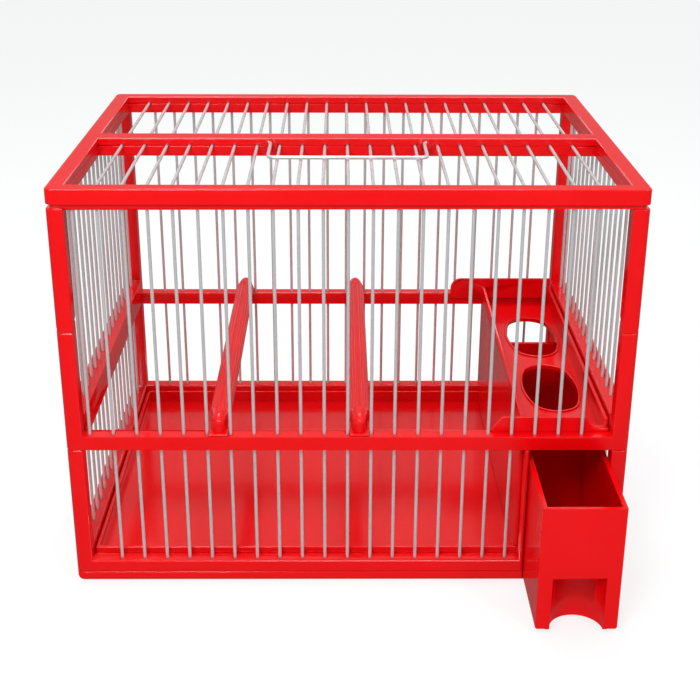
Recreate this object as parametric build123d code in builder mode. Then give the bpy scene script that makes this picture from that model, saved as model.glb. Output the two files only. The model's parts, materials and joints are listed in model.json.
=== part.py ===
"""A small plastic bird cage: stacked frames, steel wires, two perches and a feeder with its drawer.

Frame: origin on the underside in the middle of the footprint, X to the right, Y to the rear, Z up.
"""

from build123d import *
import math
import os

# Overall size of the cage, without the drawer, in millimetres
cage_width = 300.0
cage_depth = 230.0
rail_width = 9.0
corner_radius = 3.5
edge_radius = 0.8
seam_bevel = 0.5

# Heights of the stack, from the table up
base_height = 6.2
front_rail_top = 13.1
side_rail_top = 20.0
middle_bottom = 81.4
middle_top = 89.4
middle_side_top = 99.0
post_split = 148.3
scarf_rise = 5.5
side_step = 0.6
cage_height = 225.0
lid_thickness = 4.5
lid_skirt = 3.7
lid_rebate = 1.8
upper_rail_height = 5.9

# Wires
wire_diameter = 2.0
wire_sides = 6
wire_pitch = 12.5
front_wire_count = 21
short_wire_count = 3
side_wire_count = 16
top_wire_count = 21
top_wire_pitch = 12.8
outer_wire_offset = 12.5
hole_clearance = 0.05
socket_depth = 4.0

# Wedges beside the side wires
wedge_length = 4.6
wedge_height = 3.2
wedge_gap = 0.4
wedge_setback = 0.4

# Base tray
tray_wall = 2.2
tray_floor_top = 9.0
tray_floor_thickness = 2.0
tray_lip_top = 16.4
tray_clearance = 0.4
tray_plate = 2.0
tray_foot_radius = 3.0
tray_foot_width = 6.0
rib_thickness = 1.6
rib_spacing = 46.0
rib_count_x = 5
rib_count_y = 3
bay_floor = 1.7

# Drawer
drawer_width = 43.0
drawer_length = 220.0
drawer_top = 74.2
drawer_wall = 2.6
drawer_floor = 2.2
drawer_side_clearance = 0.4
drawer_under_clearance = 0.3
drawer_out = 49.5
drawer_front_proud = 0.5
grip_height = 31.0
grip_depth = 14.0
grip_wall = 2.2
drawer_foot_radius = 1.8
divider_thickness = 1.8
divider_drop = 2.0
divider_clearance = 0.1
divider_groove = 0.9

# Feeder housing
jamb_width = 2.0
housing_wall = 2.2
housing_gap = 0.4
housing_left_top = 95.0
housing_right_top = 96.0
deck_top = 84.0
deck_thickness = 2.0
oval_width = 31.0
oval_length = 64.0
oval_end_radius = 12.6
oval_offset = 39.5
oval_rim = 1.4
oval_rim_height = 0.9
hook_thickness = 2.0
hook_reach = 2.6
rear_tab_left = 71.8
rear_tab_right = 134.1
rear_tab_bottom = 86.7
rear_tab_top = 101.0
rear_tab_corner = 7.0
front_tab_left = 75.8
front_tab_right = 134.2
front_tab_top = 97.9
front_tab_shoulder = 7.0

# Perches
perch_places = {"left": -68.75, "right": 6.25}
perch_diameter = 10.0
perch_lift = 0.1
flute_count = 16
flute_depth = 0.5
flute_share = 0.4
cap_diameter = 12.4
cap_length = 25.0
cap_inset = 0.35
cap_neck = 6.0
cap_drop = 2.6
cap_steps = 4
cap_nose = 4.6
tongue_width = 8.0
tongue_height = 2.4
tongue_setback = 0.2
saddle_drop = 5.0
saddle_thickness = 2.6
spigot_diameter = 5.0
spigot_length = 9.0
spigot_clearance = 0.05

# Lid crossbar and handle
crossbar_front = -8.4
crossbar_rear = 3.9
handle_half_width = 43.4
handle_leg = 33.0
handle_wire = 2.0
handle_bend = 4.0
handle_clearance = 0.3
handle_pin = 2.5
lug_diameter = 7.4
lug_length = 4.6
lug_slot = 2.8
lug_web = 1.0
pivot_clearance = 0.05

# Values that follow from the sizes above
half_width = cage_width / 2
half_depth = cage_depth / 2
inner_x = half_width - rail_width
inner_y = half_depth - rail_width
wire_x = half_width - rail_width / 2
wire_y = half_depth - rail_width / 2
hole_radius = wire_diameter / 2 + hole_clearance
groove_end = inner_y + socket_depth
bay_right = inner_x
bay_width = drawer_width + 2 * drawer_side_clearance
bay_left = bay_right - bay_width
drawer_bottom = bay_floor + drawer_under_clearance
drawer_middle = (bay_left + bay_right) / 2
drawer_front = -half_depth - drawer_front_proud - drawer_out
drawer_rear = drawer_front + drawer_length
pan_x = inner_x - tray_clearance
pan_y = inner_y - tray_clearance
housing_x = inner_x - side_step - housing_gap
housing_y = inner_y - housing_gap
housing_left = bay_left - jamb_width - housing_wall + tray_clearance
lid_inner_width = cage_width - 2 * lid_rebate
lid_inner_depth = cage_depth - 2 * lid_rebate
lid_inner_radius = corner_radius - lid_rebate
tongue_end = half_depth - tongue_setback
crossbar_width = crossbar_rear - crossbar_front
crossbar_middle = (crossbar_rear + crossbar_front) / 2
wire_seat = cage_height - lid_thickness
lid_skirt_bottom = wire_seat - lid_skirt
upper_rail_bottom = wire_seat - upper_rail_height
handle_height = wire_seat + wire_diameter / 2 + handle_clearance + handle_wire / 2
lug_height = cage_height - lug_diameter / 2
pivot_y = crossbar_front - lug_length / 2
perch_height = middle_top + perch_lift + perch_diameter / 2
cap_start = inner_y - cap_inset - cap_length
rod_half = cap_start + cap_nose


def line_up(count, pitch):
    """Places of a row of wires, centred on zero."""
    return [(index - (count - 1) / 2) * pitch for index in range(count)]


front_xs = line_up(front_wire_count, wire_pitch)
long_front_xs = front_xs[: front_wire_count - short_wire_count]
short_front_xs = front_xs[front_wire_count - short_wire_count:]
short_front_xs.append(front_xs[0] - outer_wire_offset)
side_ys = line_up(side_wire_count, wire_pitch)
top_xs = line_up(top_wire_count, top_wire_pitch)
rear_xs = front_xs
side_places = [(side * wire_x, y) for side in (-1, 1) for y in side_ys]


def finish(piece, label):
    """Name a finished piece and write it out."""
    piece.label = label
    export_step(piece, f"parts/{label}.step")


def frame_section(height):
    """A rectangular frame as wide as the rails, drawn flat at a height."""
    with BuildSketch(Plane.XY.offset(height)) as section:
        RectangleRounded(cage_width, cage_depth, corner_radius)
        Rectangle(2 * inner_x, 2 * inner_y, mode=Mode.SUBTRACT)
    return section.sketch


def post_section(height):
    """The four corner posts, drawn flat at a height."""
    with BuildSketch(Plane.XY.offset(height)) as section:
        RectangleRounded(cage_width, cage_depth, corner_radius)
        Rectangle(cage_width, 2 * inner_y, mode=Mode.SUBTRACT)
        Rectangle(2 * inner_x, cage_depth, mode=Mode.SUBTRACT)
    return section.sketch


def side_section(height):
    """The two side rails between the posts, drawn flat at a height."""
    with BuildSketch(Plane.XY.offset(height)) as section:
        with Locations((-wire_x, 0), (wire_x, 0)):
            Rectangle(rail_width, 2 * inner_y)
    return section.sketch


def rear_section(height):
    """The rear rail between the posts, drawn flat at a height."""
    with BuildSketch(Plane.XY.offset(height)) as section:
        with Locations((0, wire_y)):
            Rectangle(2 * inner_x, rail_width)
    return section.sketch


def wedge_row(side, height):
    """Saw-tooth wedges on the outer half of a side rail, one beside each wire."""
    outer = side * (half_width - wedge_setback)
    inner = side * (wire_x + hole_radius + wedge_gap)
    with BuildPart(mode=Mode.PRIVATE) as row:
        with BuildSketch(Plane.YZ.offset(inner)):
            for wire in side_ys:
                front = wire - wedge_length + wire_diameter / 2
                rear = wire + wire_diameter / 2
                with BuildLine():
                    Polyline((front, height), (rear, height), (rear, height + wedge_height), close=True)
                make_face()
        extrude(amount=outer - inner)
    return row.part


def socket_section(places, height):
    """The sockets of upright wires, drawn flat at a height."""
    with BuildSketch(Plane.XY.offset(height)) as section:
        with Locations(*places):
            RegularPolygon(hole_radius, wire_sides, major_radius=False)
    return section.sketch


def roof_section(radius, major, start):
    """The roof wires or their channels, drawn across Y at their rear end."""
    with BuildSketch(Plane.XZ.offset(-start)) as section:
        with Locations(*[(x, wire_seat) for x in top_xs]):
            RegularPolygon(radius, wire_sides, major_radius=major)
    return section.sketch


def scarf():
    """The wedges between the sloped ends of the posts, front and rear."""
    with BuildPart() as wedges:
        with BuildSketch(Plane.YZ.offset(-half_width)):
            for side in (-1, 1):
                with BuildLine():
                    Polyline(
                        (side * half_depth, post_split),
                        (side * half_depth, post_split + scarf_rise),
                        (side * inner_y, post_split + scarf_rise),
                        close=True,
                    )
                make_face()
        extrude(amount=cage_width)
    return wedges.part


def wire_places(front_row):
    """Where the upright wires of the four sides stand, as seen from above."""
    places = [(x, -wire_y) for x in front_row]
    places += [(x, wire_y) for x in rear_xs]
    return places + side_places


def oval(half_short, half_long, end_radius):
    """A face bounded by four tangent arcs, long in Y."""
    rise = half_long - end_radius
    side_radius = (half_short**2 + rise**2 - end_radius**2) / (2 * (half_short - end_radius))
    side_centre = side_radius - half_short
    lean = math.atan2(rise, side_centre)
    tangent_x = end_radius * math.cos(lean)
    tangent_y = rise + end_radius * math.sin(lean)
    with BuildSketch() as shape:
        with BuildLine():
            ThreePointArc((tangent_x, tangent_y), (0, half_long), (-tangent_x, tangent_y))
            ThreePointArc((-tangent_x, tangent_y), (-half_short, 0), (-tangent_x, -tangent_y))
            ThreePointArc((-tangent_x, -tangent_y), (0, -half_long), (tangent_x, -tangent_y))
            ThreePointArc((tangent_x, -tangent_y), (half_short, 0), (tangent_x, tangent_y))
        make_face()
    return shape.sketch


os.makedirs("parts", exist_ok=True)

# Base tray: a flange under the frame, a raised pan inside it and a low bay for the drawer
with BuildPart() as base_tray:
    with BuildSketch():
        RectangleRounded(cage_width, cage_depth, corner_radius)
    extrude(amount=base_height)
    fillet(base_tray.faces().sort_by(Axis.Z)[0].outer_wire().edges(), tray_foot_radius)
    chamfer(base_tray.faces().sort_by(Axis.Z)[-1].outer_wire().edges(), seam_bevel)
    with BuildSketch(Plane.XY.offset(base_height)):
        Rectangle(2 * pan_x, 2 * pan_y)
    extrude(amount=tray_lip_top - base_height)
    with BuildSketch(Plane.XY.offset(tray_floor_top)):
        Rectangle(2 * (pan_x - tray_wall), 2 * (pan_y - tray_wall))
    extrude(amount=tray_lip_top - tray_floor_top, mode=Mode.SUBTRACT)
    with BuildSketch():
        Rectangle(cage_width - 2 * tray_foot_width, cage_depth - 2 * tray_foot_width)
    extrude(amount=base_height - tray_plate, mode=Mode.SUBTRACT)
    with BuildSketch():
        Rectangle(2 * (pan_x - tray_wall), 2 * (pan_y - tray_wall))
    extrude(amount=tray_floor_top - tray_floor_thickness, mode=Mode.SUBTRACT)
    rib_xs = line_up(rib_count_x, rib_spacing)
    rib_ys = line_up(rib_count_y, rib_spacing)
    with BuildSketch():
        for rib_x in rib_xs:
            with Locations((rib_x, 0)):
                Rectangle(rib_thickness, cage_depth - 2 * tray_foot_width)
        for rib_y in rib_ys:
            with Locations((0, rib_y)):
                Rectangle(cage_width - 2 * tray_foot_width, rib_thickness)
    extrude(amount=base_height - tray_plate / 2)
    with BuildSketch(Plane.XY.offset(base_height - tray_plate)):
        for rib_x in rib_xs:
            with Locations((rib_x, 0)):
                Rectangle(rib_thickness, 2 * (pan_y - tray_wall))
        for rib_y in rib_ys:
            with Locations((0, rib_y)):
                Rectangle(2 * (pan_x - tray_wall), rib_thickness)
    extrude(amount=tray_floor_top - tray_floor_thickness / 2 - base_height + tray_plate)
    with BuildSketch():
        with Locations(((bay_left - jamb_width + bay_right) / 2, 0)):
            Rectangle(bay_width + jamb_width, 2 * pan_y)
    extrude(amount=tray_floor_top)
    with BuildSketch(Plane.XY.offset(bay_floor)):
        with Locations((drawer_middle, -rail_width / 2)):
            Rectangle(bay_width, 2 * inner_y + rail_width, align=(Align.CENTER, Align.CENTER))
    extrude(amount=tray_lip_top, mode=Mode.SUBTRACT)
finish(base_tray.part, "base_tray")

# Bottom ring: low front rail with the drawer gap, tall side and rear rails, lower posts
with BuildPart() as bottom_ring:
    add(frame_section(base_height))
    extrude(amount=front_rail_top - base_height)
    add(post_section(base_height))
    extrude(amount=middle_bottom - base_height)
    add(side_section(base_height))
    extrude(amount=side_rail_top - base_height)
    add(rear_section(base_height))
    extrude(amount=side_rail_top - base_height)
    lower_edge = bottom_ring.faces().sort_by(Axis.Z)[0].outer_wire().edges()
    chamfer(lower_edge, seam_bevel)
    for side in (-1, 1):
        add(wedge_row(side, side_rail_top))
    with BuildSketch(Plane.XY.offset(base_height)):
        with Locations((bay_left, -wire_y)):
            Rectangle(bay_width, 2 * rail_width, align=(Align.MIN, Align.CENTER))
    extrude(amount=side_rail_top - base_height, mode=Mode.SUBTRACT)
    with BuildSketch(Plane.XY.offset(base_height)):
        with Locations((bay_left, -inner_y)):
            Rectangle(jamb_width, rail_width, align=(Align.MAX, Align.MAX))
    extrude(amount=middle_bottom - base_height)
    add(socket_section([(x, -wire_y) for x in long_front_xs], front_rail_top))
    extrude(amount=-socket_depth, mode=Mode.SUBTRACT)
    add(socket_section([(x, wire_y) for x in rear_xs], side_rail_top))
    extrude(amount=-socket_depth, mode=Mode.SUBTRACT)
    add(socket_section(side_places, side_rail_top))
    extrude(amount=-socket_depth, mode=Mode.SUBTRACT)
finish(bottom_ring.part, "bottom_ring")

post_scarf = scarf()

# Middle ring: carries the perches and the feeder, with posts up to the split
with BuildPart() as middle_ring:
    add(frame_section(middle_bottom))
    extrude(amount=middle_top - middle_bottom)
    add(post_section(middle_bottom))
    extrude(amount=post_split + scarf_rise - middle_bottom)
    add(post_scarf, mode=Mode.SUBTRACT)
    with BuildSketch(Plane.XY.offset(middle_top)):
        for side in (-1, 1):
            with Locations((side * half_width, 0)):
                Rectangle(
                    rail_width + side_step,
                    2 * (inner_y + side_step),
                    align=(Align.MAX if side > 0 else Align.MIN, Align.CENTER),
                )
    extrude(amount=middle_side_top - middle_top)
    for side in (-1, 1):
        add(wedge_row(side, middle_side_top))
    chamfer(middle_ring.faces().sort_by(Axis.Z)[0].outer_wire().edges(), seam_bevel)
    add(socket_section([(x, -wire_y) for x in long_front_xs], middle_top))
    extrude(amount=middle_bottom - middle_top, mode=Mode.SUBTRACT)
    add(socket_section([(x, -wire_y) for x in short_front_xs], middle_top))
    extrude(amount=-socket_depth, mode=Mode.SUBTRACT)
    add(socket_section([(x, wire_y) for x in rear_xs], middle_top))
    extrude(amount=middle_bottom - middle_top, mode=Mode.SUBTRACT)
    add(socket_section(side_places, middle_side_top))
    extrude(amount=middle_bottom - middle_side_top, mode=Mode.SUBTRACT)
finish(middle_ring.part, "middle_ring")

# Upper ring: upper posts, the rails under the lid and the lower half of the crossbar
with BuildPart() as upper_ring:
    add(post_section(post_split))
    extrude(amount=scarf_rise)
    add(post_scarf, mode=Mode.INTERSECT)
    add(post_section(post_split + scarf_rise))
    extrude(amount=upper_rail_bottom - post_split - scarf_rise)
    with BuildSketch(Plane.XY.offset(upper_rail_bottom)):
        RectangleRounded(lid_inner_width, lid_inner_depth, lid_inner_radius)
        Rectangle(2 * inner_x, 2 * inner_y, mode=Mode.SUBTRACT)
        with Locations((0, crossbar_middle)):
            Rectangle(2 * inner_x, crossbar_width)
    extrude(amount=wire_seat - upper_rail_bottom)
    add(socket_section(wire_places(short_front_xs + long_front_xs), upper_rail_bottom))
    extrude(amount=socket_depth, mode=Mode.SUBTRACT)
    add(roof_section(hole_radius, False, groove_end))
    extrude(amount=2 * groove_end, dir=(0, -1, 0), mode=Mode.SUBTRACT)
finish(upper_ring.part, "upper_ring")

# Lid: top frame with a skirt over the upper ring and the upper half of the crossbar
with BuildPart() as top_frame:
    with BuildSketch(Plane.XY.offset(lid_skirt_bottom)):
        RectangleRounded(cage_width, cage_depth, corner_radius)
        Rectangle(2 * inner_x, 2 * inner_y, mode=Mode.SUBTRACT)
        with Locations((0, crossbar_middle)):
            Rectangle(2 * inner_x, crossbar_width)
    extrude(amount=cage_height - lid_skirt_bottom)
    fillet(top_frame.faces().sort_by(Axis.Z)[-1].edges(), edge_radius)
    with BuildSketch(Plane.XY.offset(lid_skirt_bottom)):
        RectangleRounded(lid_inner_width, lid_inner_depth, lid_inner_radius)
    extrude(amount=wire_seat - lid_skirt_bottom, mode=Mode.SUBTRACT)
    add(roof_section(hole_radius, False, groove_end))
    extrude(amount=2 * groove_end, dir=(0, -1, 0), mode=Mode.SUBTRACT)
    with BuildSketch(Plane.XZ.offset(-crossbar_front)):
        for side in (-1, 1):
            with Locations((side * handle_half_width, lug_height)):
                Circle(lug_diameter / 2)
    extrude(amount=lug_length)
    with BuildSketch(Plane.XZ.offset(-crossbar_front + lug_web)):
        for side in (-1, 1):
            with Locations((side * handle_half_width, lug_height)):
                Rectangle(lug_slot, lug_diameter)
    extrude(amount=lug_length, mode=Mode.SUBTRACT)
    pin_hole = handle_pin + 2 * pivot_clearance
    for side in (-1, 1):
        with Locations((side * (handle_half_width + pin_hole / 2), pivot_y, handle_height)):
            Cylinder(handle_wire / 2 + pivot_clearance, pin_hole, rotation=(0, 90, 0), mode=Mode.SUBTRACT)
finish(top_frame.part, "top_frame")


def upright_wires(places, bottom, label):
    """A row of upright wires from their lower socket to the upper ring."""
    with BuildPart() as wires:
        with BuildSketch(Plane.XY.offset(bottom)):
            with Locations(*places):
                RegularPolygon(wire_diameter / 2, wire_sides)
        extrude(amount=wire_top - bottom)
    finish(wires.part, label)


wire_top = upper_rail_bottom + socket_depth - hole_clearance
low_end = front_rail_top - socket_depth + hole_clearance
high_end = side_rail_top - socket_depth + hole_clearance
short_end = middle_top - socket_depth + hole_clearance

# Upright wires of the four sides
upright_wires([(x, -wire_y) for x in long_front_xs], low_end, "front_wires")
upright_wires([(x, -wire_y) for x in short_front_xs], short_end, "short_front_wires")
upright_wires([(x, wire_y) for x in rear_xs], high_end, "rear_wires")
upright_wires([(-wire_x, y) for y in side_ys], high_end, "left_wires")
upright_wires([(wire_x, y) for y in side_ys], high_end, "right_wires")

# Top wires, lying between the upper ring and the lid
with BuildPart() as top_wires:
    roof_end = groove_end - hole_clearance
    add(roof_section(wire_diameter / 2, True, roof_end))
    extrude(amount=2 * roof_end, dir=(0, -1, 0))
finish(top_wires.part, "top_wires")

# Carry handle: a wire bail with its ends bent outward into the lugs
with BuildPart() as carry_handle:
    with BuildLine(Plane.XY.offset(handle_height)) as handle_path:
        FilletPolyline(
            (-handle_half_width, pivot_y),
            (-handle_half_width, pivot_y - handle_leg),
            (handle_half_width, pivot_y - handle_leg),
            (handle_half_width, pivot_y),
            radius=handle_bend,
        )
    with BuildSketch(Plane(origin=handle_path.line @ 0, z_dir=handle_path.line % 0)):
        RegularPolygon(handle_wire / 2, wire_sides)
    sweep()
    pin_length = handle_pin + handle_wire / 2
    for side in (-1, 1):
        pin_middle = side * (handle_half_width + handle_pin - pin_length / 2)
        with Locations((pin_middle, pivot_y, handle_height)):
            Cylinder(handle_wire / 2, pin_length, rotation=(0, 90, 0))
finish(carry_handle.part, "carry_handle")

# Feeder housing: a tall side wall, a deck with two ovals and hooks over both middle rails
oval_hole = oval(oval_width / 2, oval_length / 2, oval_end_radius)
oval_edge = oval(oval_width / 2 + oval_rim, oval_length / 2 + oval_rim, oval_end_radius + oval_rim)
with BuildPart() as feeder_housing:
    with BuildSketch(Plane.XZ.offset(-housing_y)):
        with Locations((housing_left, tray_floor_top + housing_gap)):
            Rectangle(
                housing_wall,
                housing_left_top - tray_floor_top - housing_gap,
                align=(Align.MIN, Align.MIN),
            )
        with Locations((housing_left, deck_top - deck_thickness)):
            Rectangle(housing_x - housing_left, deck_thickness, align=(Align.MIN, Align.MIN))
        with Locations((housing_x, deck_top - deck_thickness)):
            Rectangle(
                housing_wall,
                housing_right_top - deck_top + deck_thickness,
                align=(Align.MAX, Align.MIN),
            )
    extrude(amount=2 * housing_y)
    with BuildSketch(Plane.XY.offset(tray_floor_top)):
        Rectangle(cage_width, cage_depth)
        Rectangle(cage_width, 2 * (pan_y - tray_wall - housing_gap), mode=Mode.SUBTRACT)
    extrude(amount=tray_lip_top + housing_gap - tray_floor_top, mode=Mode.SUBTRACT)
    with BuildSketch(Plane.XY.offset(deck_top)):
        with Locations((drawer_middle, -oval_offset), (drawer_middle, oval_offset)):
            add(oval_edge)
    extrude(amount=oval_rim_height)
    with BuildSketch(Plane.XY.offset(deck_top + oval_rim_height)):
        with Locations((drawer_middle, -oval_offset), (drawer_middle, oval_offset)):
            add(oval_hole)
    extrude(amount=-oval_rim_height - deck_thickness, mode=Mode.SUBTRACT)
    with BuildSketch(Plane.XZ.offset(-housing_y)) as rear_tab:
        with BuildLine():
            Polyline(
                (rear_tab_left, rear_tab_bottom),
                (rear_tab_right, rear_tab_bottom),
                (rear_tab_right, rear_tab_top),
                (rear_tab_left, rear_tab_top),
                close=True,
            )
        make_face()
        fillet(rear_tab.vertices().group_by(Axis.Y)[-1].sort_by(Axis.X)[0], rear_tab_corner)
    extrude(amount=hook_thickness)
    with BuildSketch(Plane.XY.offset(middle_top)):
        with Locations((rear_tab_left + rear_tab_corner, housing_y - hook_thickness)):
            Rectangle(
                rear_tab_right - rear_tab_left - rear_tab_corner,
                hook_thickness + housing_gap + hook_reach,
                align=(Align.MIN, Align.MIN),
            )
    extrude(amount=hook_thickness)
    with BuildSketch(Plane.XZ.offset(inner_y + hook_reach - hook_thickness)):
        with BuildLine():
            Polyline(
                (front_tab_left, middle_top),
                (front_tab_right, middle_top),
                (front_tab_right - front_tab_shoulder, front_tab_top),
                (front_tab_left + front_tab_shoulder, front_tab_top),
                close=True,
            )
        make_face()
    extrude(amount=hook_thickness)
    with BuildSketch(Plane.XY.offset(middle_top)):
        with Locations((front_tab_left + front_tab_shoulder, -inner_y - hook_reach)):
            Rectangle(
                housing_x - front_tab_left - front_tab_shoulder,
                hook_reach + housing_gap + hook_thickness,
                align=(Align.MIN, Align.MIN),
            )
    extrude(amount=hook_thickness)
    with BuildSketch(Plane.XY.offset(middle_top + hook_thickness)):
        with Locations((front_tab_left + front_tab_shoulder, -housing_y)):
            Rectangle(
                housing_x - front_tab_left - front_tab_shoulder,
                hook_thickness,
                align=(Align.MIN, Align.MIN),
            )
    extrude(amount=deck_top - deck_thickness - middle_top - hook_thickness)
finish(feeder_housing.part, "feeder_housing")

# Feeder drawer, drawn out to its open place, with a finger recess under the front
cavity_front = drawer_front + drawer_wall
cavity_rear = drawer_rear - drawer_wall
cavity_width = drawer_width - 2 * drawer_wall
cavity_bottom = drawer_bottom + drawer_floor
divider_y = (cavity_front + cavity_rear) / 2
with BuildPart() as feeder_drawer:
    with BuildSketch(Plane.XY.offset(drawer_bottom)):
        with Locations((drawer_middle, drawer_front)):
            Rectangle(drawer_width, drawer_length, align=(Align.CENTER, Align.MIN))
    extrude(amount=drawer_top - drawer_bottom)
    upright = feeder_drawer.edges().filter_by(Axis.Z)
    fillet(upright, edge_radius)
    low_sides = feeder_drawer.faces().sort_by(Axis.Z)[0].edges().filter_by(Axis.Y)
    fillet(low_sides, drawer_foot_radius)
    with BuildSketch(Plane.XY.offset(cavity_bottom)):
        with Locations((drawer_middle, divider_y)):
            RectangleRounded(cavity_width, cavity_rear - cavity_front, edge_radius)
            Rectangle(cavity_width + 2 * divider_groove, divider_thickness + 2 * divider_clearance)
    extrude(amount=drawer_top, mode=Mode.SUBTRACT)
    with BuildSketch(Plane.XY.offset(drawer_bottom)):
        with Locations((drawer_middle, drawer_front + edge_radius)):
            Circle(grip_depth + grip_wall)
            Rectangle(4 * grip_depth, 4 * grip_depth, align=(Align.CENTER, Align.MAX), mode=Mode.SUBTRACT)
    extrude(amount=grip_height + grip_wall)
    with BuildSketch(Plane.XY.offset(drawer_bottom)):
        with Locations((drawer_middle, drawer_front)):
            Circle(grip_depth)
    extrude(amount=grip_height, mode=Mode.SUBTRACT)
finish(feeder_drawer.part, "feeder_drawer")

# Partition that slides into the drawer's grooves and parts it in two
with BuildPart() as drawer_divider:
    with BuildSketch(Plane.XY.offset(cavity_bottom)):
        with Locations((drawer_middle, divider_y)):
            Rectangle(cavity_width + 2 * divider_groove - 2 * divider_clearance, divider_thickness)
    extrude(amount=drawer_top - divider_drop - cavity_bottom)
finish(drawer_divider.part, "drawer_divider")


def fluted_outline(centre_x, centre_z):
    """Corners round a perch rod: a flat ridge, then a groove, for each flute."""
    ridge = perch_diameter / 2
    groove = ridge - flute_depth
    flute_angle = 2 * math.pi / flute_count
    corners = []
    for flute in range(flute_count):
        for share, radius in ((0, ridge), (1 - flute_share, ridge), (1 - flute_share / 2, groove)):
            angle = (flute + share) * flute_angle
            corners.append((centre_x + radius * math.cos(angle), centre_z + radius * math.sin(angle)))
    return corners


def cap_outline(side):
    """Half of a cap's bullet outline, in Y and Z, from its open end to its nose at the rail."""
    width = cap_diameter / 2
    start = side * cap_start
    end = side * (inner_y - cap_inset)
    outline = [(start, perch_height), (start, perch_height + width - edge_radius)]
    outline.append((start + side * edge_radius, perch_height + width))
    for step in range(cap_steps + 1):
        share = step / cap_steps
        drop = cap_drop * (1 - math.sqrt(1 - share**2))
        outline.append((end - side * cap_neck * (1 - share), perch_height + width - drop))
    outline.append((end, perch_height))
    return outline


# Perches: a fluted rod between two smooth caps that saddle the middle rails
for name, perch_x in perch_places.items():
    with BuildPart() as perch_rod:
        with BuildSketch(Plane.XZ.offset(-rod_half)):
            with BuildLine():
                Polyline(*fluted_outline(perch_x, perch_height), close=True)
            make_face()
        extrude(amount=2 * rod_half)
        with BuildSketch(Plane.XZ.offset(-rod_half - spigot_length)):
            with Locations((perch_x, perch_height)):
                Circle(spigot_diameter / 2)
        extrude(amount=2 * (rod_half + spigot_length))
    finish(perch_rod.part, f"{name}_perch_rod")
    for place, side in (("front", -1), ("rear", 1)):
        cap_end = side * (inner_y - cap_inset)
        with BuildPart() as perch_cap:
            with BuildSketch(Plane.YZ.offset(perch_x)):
                with BuildLine():
                    Polyline(*cap_outline(side), close=True)
                make_face()
            revolve(axis=Axis((perch_x, 0, perch_height), (0, 1, 0)))
            with BuildSketch(Plane.XY.offset(middle_top + perch_lift)):
                with Locations((perch_x, side * tongue_end)):
                    Rectangle(
                        tongue_width,
                        tongue_end - cap_start - cap_length / 2,
                        align=(Align.CENTER, Align.MAX if side > 0 else Align.MIN),
                    )
            extrude(amount=tongue_height)
            with BuildSketch(Plane.XY.offset(middle_top - saddle_drop)):
                with Locations((perch_x, cap_end)):
                    Rectangle(
                        tongue_width,
                        saddle_thickness,
                        align=(Align.CENTER, Align.MAX if side > 0 else Align.MIN),
                    )
            extrude(amount=saddle_drop + tongue_height)
            with BuildSketch(Plane.XZ.offset(-side * cap_start)):
                with Locations((perch_x, perch_height)):
                    Circle(perch_diameter / 2 + spigot_clearance)
            extrude(amount=-side * (rod_half - cap_start), mode=Mode.SUBTRACT)
            with BuildSketch(Plane.XZ.offset(-side * rod_half)):
                with Locations((perch_x, perch_height)):
                    Circle(spigot_diameter / 2 + spigot_clearance)
            extrude(amount=-side * (spigot_length + 2 * spigot_clearance), mode=Mode.SUBTRACT)
        finish(perch_cap.part, f"{name}_perch_{place}_cap")
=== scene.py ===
"""A red plastic bird cage: moulded frames with soft edges, drawn steel wires and a studio stage.

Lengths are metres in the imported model's own frame: X to the right, Y to the rear, Z up.
"""

import json
import math

import bmesh
import bpy
from mathutils import Matrix, Vector


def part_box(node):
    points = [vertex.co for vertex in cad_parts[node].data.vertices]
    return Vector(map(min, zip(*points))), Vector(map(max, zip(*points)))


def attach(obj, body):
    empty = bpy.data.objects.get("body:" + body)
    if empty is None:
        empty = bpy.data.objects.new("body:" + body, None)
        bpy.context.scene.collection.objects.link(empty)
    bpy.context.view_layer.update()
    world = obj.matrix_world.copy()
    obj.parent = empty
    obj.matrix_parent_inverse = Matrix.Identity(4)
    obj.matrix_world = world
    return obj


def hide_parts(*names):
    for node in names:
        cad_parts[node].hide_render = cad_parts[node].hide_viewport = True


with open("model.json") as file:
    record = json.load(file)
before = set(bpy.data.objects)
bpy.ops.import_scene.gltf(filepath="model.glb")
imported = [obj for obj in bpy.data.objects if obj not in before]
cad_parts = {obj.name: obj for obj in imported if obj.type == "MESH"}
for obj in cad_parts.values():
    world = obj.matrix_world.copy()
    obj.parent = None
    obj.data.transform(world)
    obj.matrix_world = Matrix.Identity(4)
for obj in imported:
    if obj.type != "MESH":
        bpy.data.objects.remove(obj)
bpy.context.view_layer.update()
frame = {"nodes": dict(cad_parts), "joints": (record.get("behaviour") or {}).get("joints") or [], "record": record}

bl_info = {
    "name": "Bird cage",
    "version": (1, 0, 0),
    "blender": (4, 5, 0),
    "location": "3D View > Sidebar > Bird cage",
    "description": "Dresses the packed bird cage with soft edges, wires, plastic and a stage",
    "category": "Object",
}

MM = 0.001

# Rounding: what counts as a sharp edge, a flat face, a run of edges and a facet, and the share of
# the room beside an edge that its rounding takes at most
SHARP_ANGLE = math.radians(50.0)
FLAT_ANGLE = math.radians(0.5)
RUN_ON = 0.8
FACET_LENGTH = 4.0 * MM
EDGE_SHARE = 0.35
EDGE_STEPS = 3
SMOOTH_ANGLE = math.radians(40.0)
ROUND_ANGLE = math.radians(50.0)
ALL_SHOWS = -1.0
TRAY_RADIUS = 0.6 * MM
TRAY_UNDERSIDE = 5.0 * MM
CAP_RADIUS = 0.5 * MM

# Moulded plastic: noise scales in waves a metre, then what they do
FLOW_SCALE = 22.0
WAVE_SCALE = 9.0
RUB_SCALE = 60.0
FLOW_DULLING = 0.03
SCUFF_DULLING = 0.05
SCUFF_STOPS = ((0.50, (0, 0, 0, 1)), (0.80, (1, 1, 1, 1)))
WAVE_STRENGTH = 0.04
WAVE_HEIGHT = 0.6 * MM

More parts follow.
